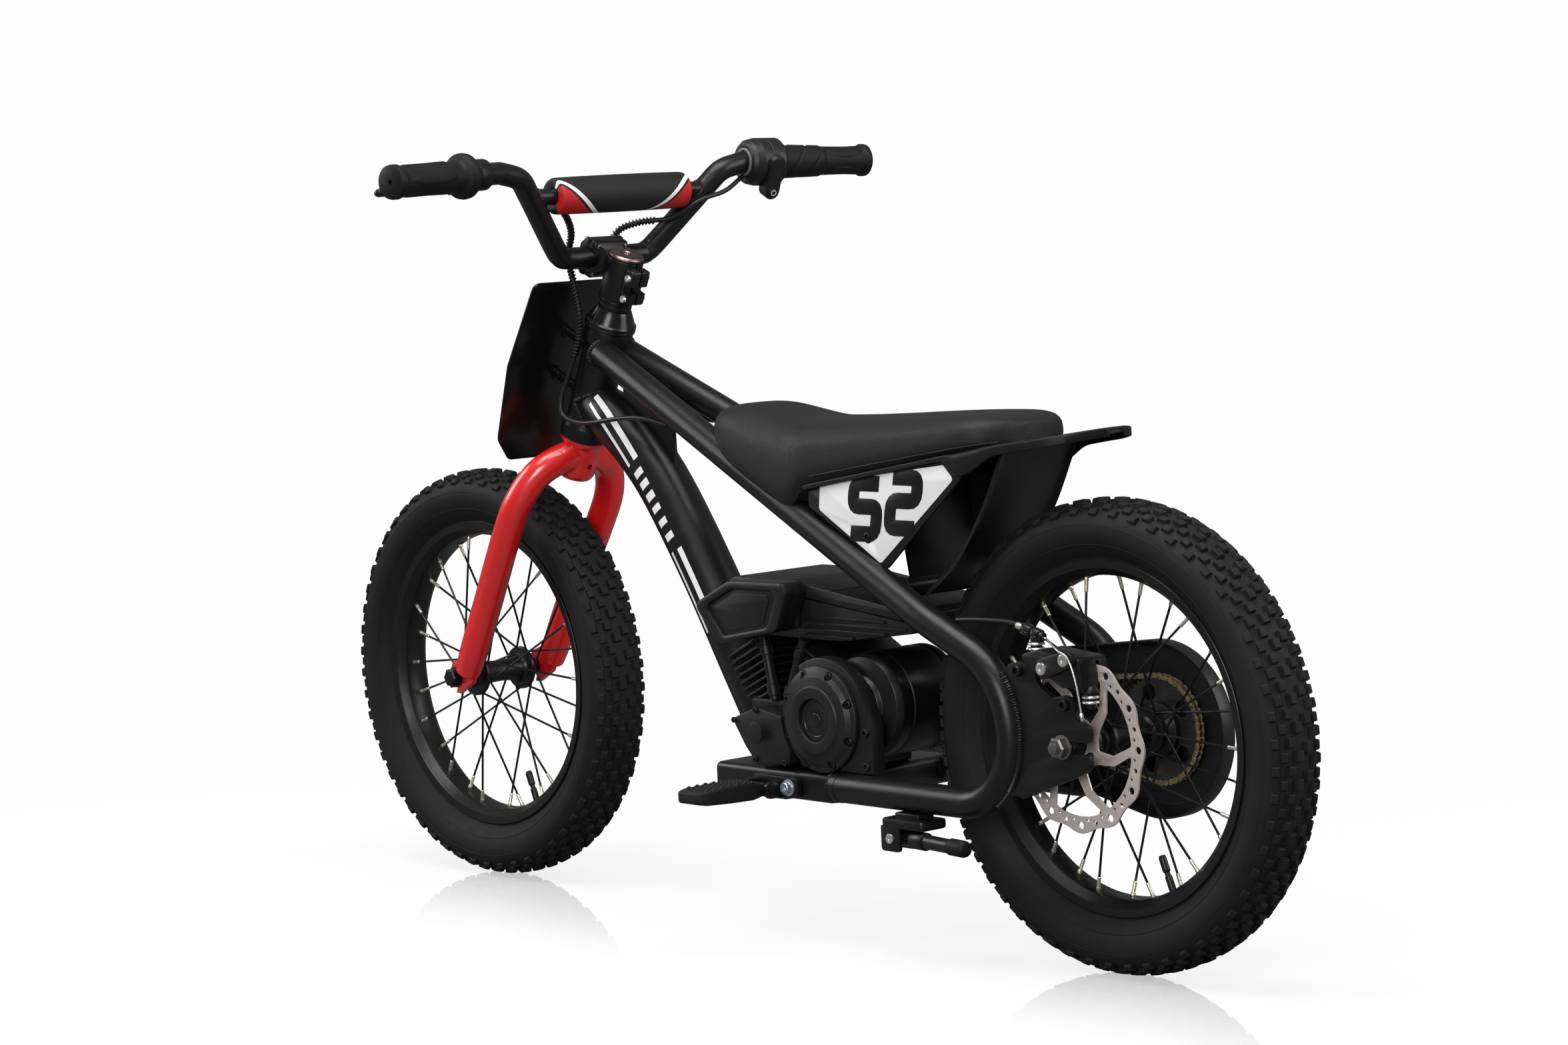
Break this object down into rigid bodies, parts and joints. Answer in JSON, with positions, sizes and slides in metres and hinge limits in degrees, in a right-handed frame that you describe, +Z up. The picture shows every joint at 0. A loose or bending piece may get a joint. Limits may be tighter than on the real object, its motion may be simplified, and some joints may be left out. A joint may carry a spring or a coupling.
{
  "type": "children's electric mini bike in BMX style",
  "caption": "Low electric bike for a child with a looped tube frame, red fork, spoked knobby wheels, padded crossbar, motorcycle-look engine covers, long seat and number panels",
  "frame": {"origin": "on the ground under the middle of the wheelbase, in the bike's centre plane", "axes": "+X points the way the bike rides, +Y to the rider's left, +Z up"},
  "size_m": [1.327, 0.6207, 0.7624],
  "materials": {
    "satin_black_paint": "satin black powder coat",
    "red_paint": "glossy red enamel",
    "black_plastic": "moulded semi-matte black plastic",
    "gloss_black_plastic": "glossy black plastic",
    "white_panel": "white field printed on black plastic",
    "seat_cover": "finely textured black vinyl",
    "rubber": "matte black rubber",
    "bright_steel": "bare machined steel",
    "zinc_steel": "zinc-plated axle and nuts",
    "gold_chain": "gold-coloured plated chain",
    "bronze_anodised": "dark bronze anodised cap"
  },
  "bodies": {
    "frame": {"air_cleaner_cover": "black_plastic", "battery_box": "black_plastic", "battery_lid": "black_plastic", "battery_pack": "black_plastic", "bottom_box": "satin_black_paint", "brake_caliper": "satin_black_paint", "chain": "gold_chain", "chain_guard": "black_plastic", "clutch_cover": "black_plastic", "crankcase": "black_plastic", "down_tube": "satin_black_paint", "front_cylinder": "black_plastic", "front_number_plate": "black_plastic", "head_tube": "satin_black_paint", "kickstand_bracket": "satin_black_paint", "left_frame_loop": "satin_black_paint", "left_peg_bracket": "satin_black_paint", "left_side_panel": "white_panel", "motor": "satin_black_paint", "mudguard": "black_plastic", "primary_cover": "black_plastic", "rear_axle": "zinc_steel", "rear_brake_cable": "rubber", "rear_bridge": "satin_black_paint", "rear_cylinder": "black_plastic", "right_frame_loop": "satin_black_paint", "right_peg_bracket": "satin_black_paint", "right_side_panel": "white_panel", "seat": "seat_cover", "tail_fender": "gloss_black_plastic", "timing_cover": "black_plastic", "upper_headset": "gloss_black_plastic"},
    "steering": {"bar_pad": "seat_cover", "brake_cable": "rubber", "fork": "red_paint", "front_axle": "zinc_steel", "handlebar": "satin_black_paint", "left_grip": "rubber", "lever_perch": "satin_black_paint", "stem": "satin_black_paint", "stem_cap": "bronze_anodised", "stem_faceplate": "satin_black_paint", "throttle_cable": "rubber", "throttle_housing": "black_plastic"},
    "front_wheel": {"front_hub": "satin_black_paint", "front_rim": "satin_black_paint", "front_tyre": "rubber"},
    "rear_wheel": {"brake_rotor": "bright_steel", "rear_hub": "satin_black_paint", "rear_rim": "satin_black_paint", "rear_sprocket": "bright_steel", "rear_tyre": "rubber"},
    "motor_drive": {"motor_sprocket": "bright_steel"},
    "kickstand": {"kickstand": "satin_black_paint"},
    "left_peg": {"left_footpeg": "rubber"},
    "right_peg": {"right_footpeg": "rubber"},
    "brake_lever": {"brake_lever": "satin_black_paint"},
    "caliper_arm": {"caliper_arm": "black_plastic"},
    "throttle": {"throttle_grip": "rubber"},
    "power_button": {"power_button": "black_plastic"}
  },
  "joints": [
    {"name": "steer", "type": "hinge", "parent": "frame", "child": "steering", "pos_m": [0.40959, 0, 0.1967], "axis": [-0.4067, 0, 0.9135], "range_deg": [-45, 45], "deforming": ["brake_cable", "throttle_cable"]},
    {"name": "front_wheel_spin", "type": "hinge", "parent": "steering", "child": "front_wheel", "pos_m": [0.4507, 0, 0.215], "axis": [0, 1, 0], "continuous": true},
    {"name": "rear_wheel_spin", "type": "hinge", "parent": "frame", "child": "rear_wheel", "pos_m": [-0.4507, 0, 0.215], "axis": [0, 1, 0], "continuous": true},
    {"name": "motor_spin", "type": "hinge", "parent": "frame", "child": "motor_drive", "pos_m": [-0.1667, 0, 0.228], "axis": [0, 1, 0], "continuous": true},
    {"name": "kickstand_fold", "type": "hinge", "parent": "frame", "child": "kickstand", "pos_m": [-0.2407, 0.08, 0.1155], "axis": [0, -1, 0], "range_deg": [0, 105]},
    {"name": "left_peg_fold", "type": "hinge", "parent": "frame", "child": "left_peg", "pos_m": [-0.0707, 0.1, 0.148], "axis": [1, 0, 0], "range_deg": [0, 70]},
    {"name": "right_peg_fold", "type": "hinge", "parent": "frame", "child": "right_peg", "pos_m": [-0.0707, -0.1, 0.148], "axis": [-1, 0, 0], "range_deg": [0, 70]},
    {"name": "brake_lever_pull", "type": "hinge", "parent": "steering", "child": "brake_lever", "pos_m": [0.23813, 0.19081, 0.72783], "axis": [0.2425, 0.0621, 0.9682], "range_deg": [0, 11], "stiffness_Nm_per_rad": 0.8},
    {"name": "caliper_arm_pull", "type": "hinge", "parent": "frame", "child": "caliper_arm", "pos_m": [-0.4371, 0.083, 0.2846], "axis": [0, 1, 0], "range_deg": [0, 14], "deforming": ["rear_brake_cable"]},
    {"name": "throttle_twist", "type": "hinge", "parent": "steering", "child": "throttle", "pos_m": [0.20505, -0.158, 0.73822], "axis": [-0.1549, -0.9876, -0.0246], "range_deg": [0, 70], "stiffness_Nm_per_rad": 0.25},
    {"name": "power_button_press", "type": "slide", "parent": "steering", "child": "power_button", "axis": [0.9005, -0.1514, 0.4077], "range_m": [0, 0.0015], "stiffness_N_per_m": 400}
  ],
  "couplings": [
    {"joint": "motor_spin", "follows": "rear_wheel_spin", "ratio": 4.3636},
    {"joint": "caliper_arm_pull", "follows": "brake_lever_pull", "ratio": 1.2}
  ]
}
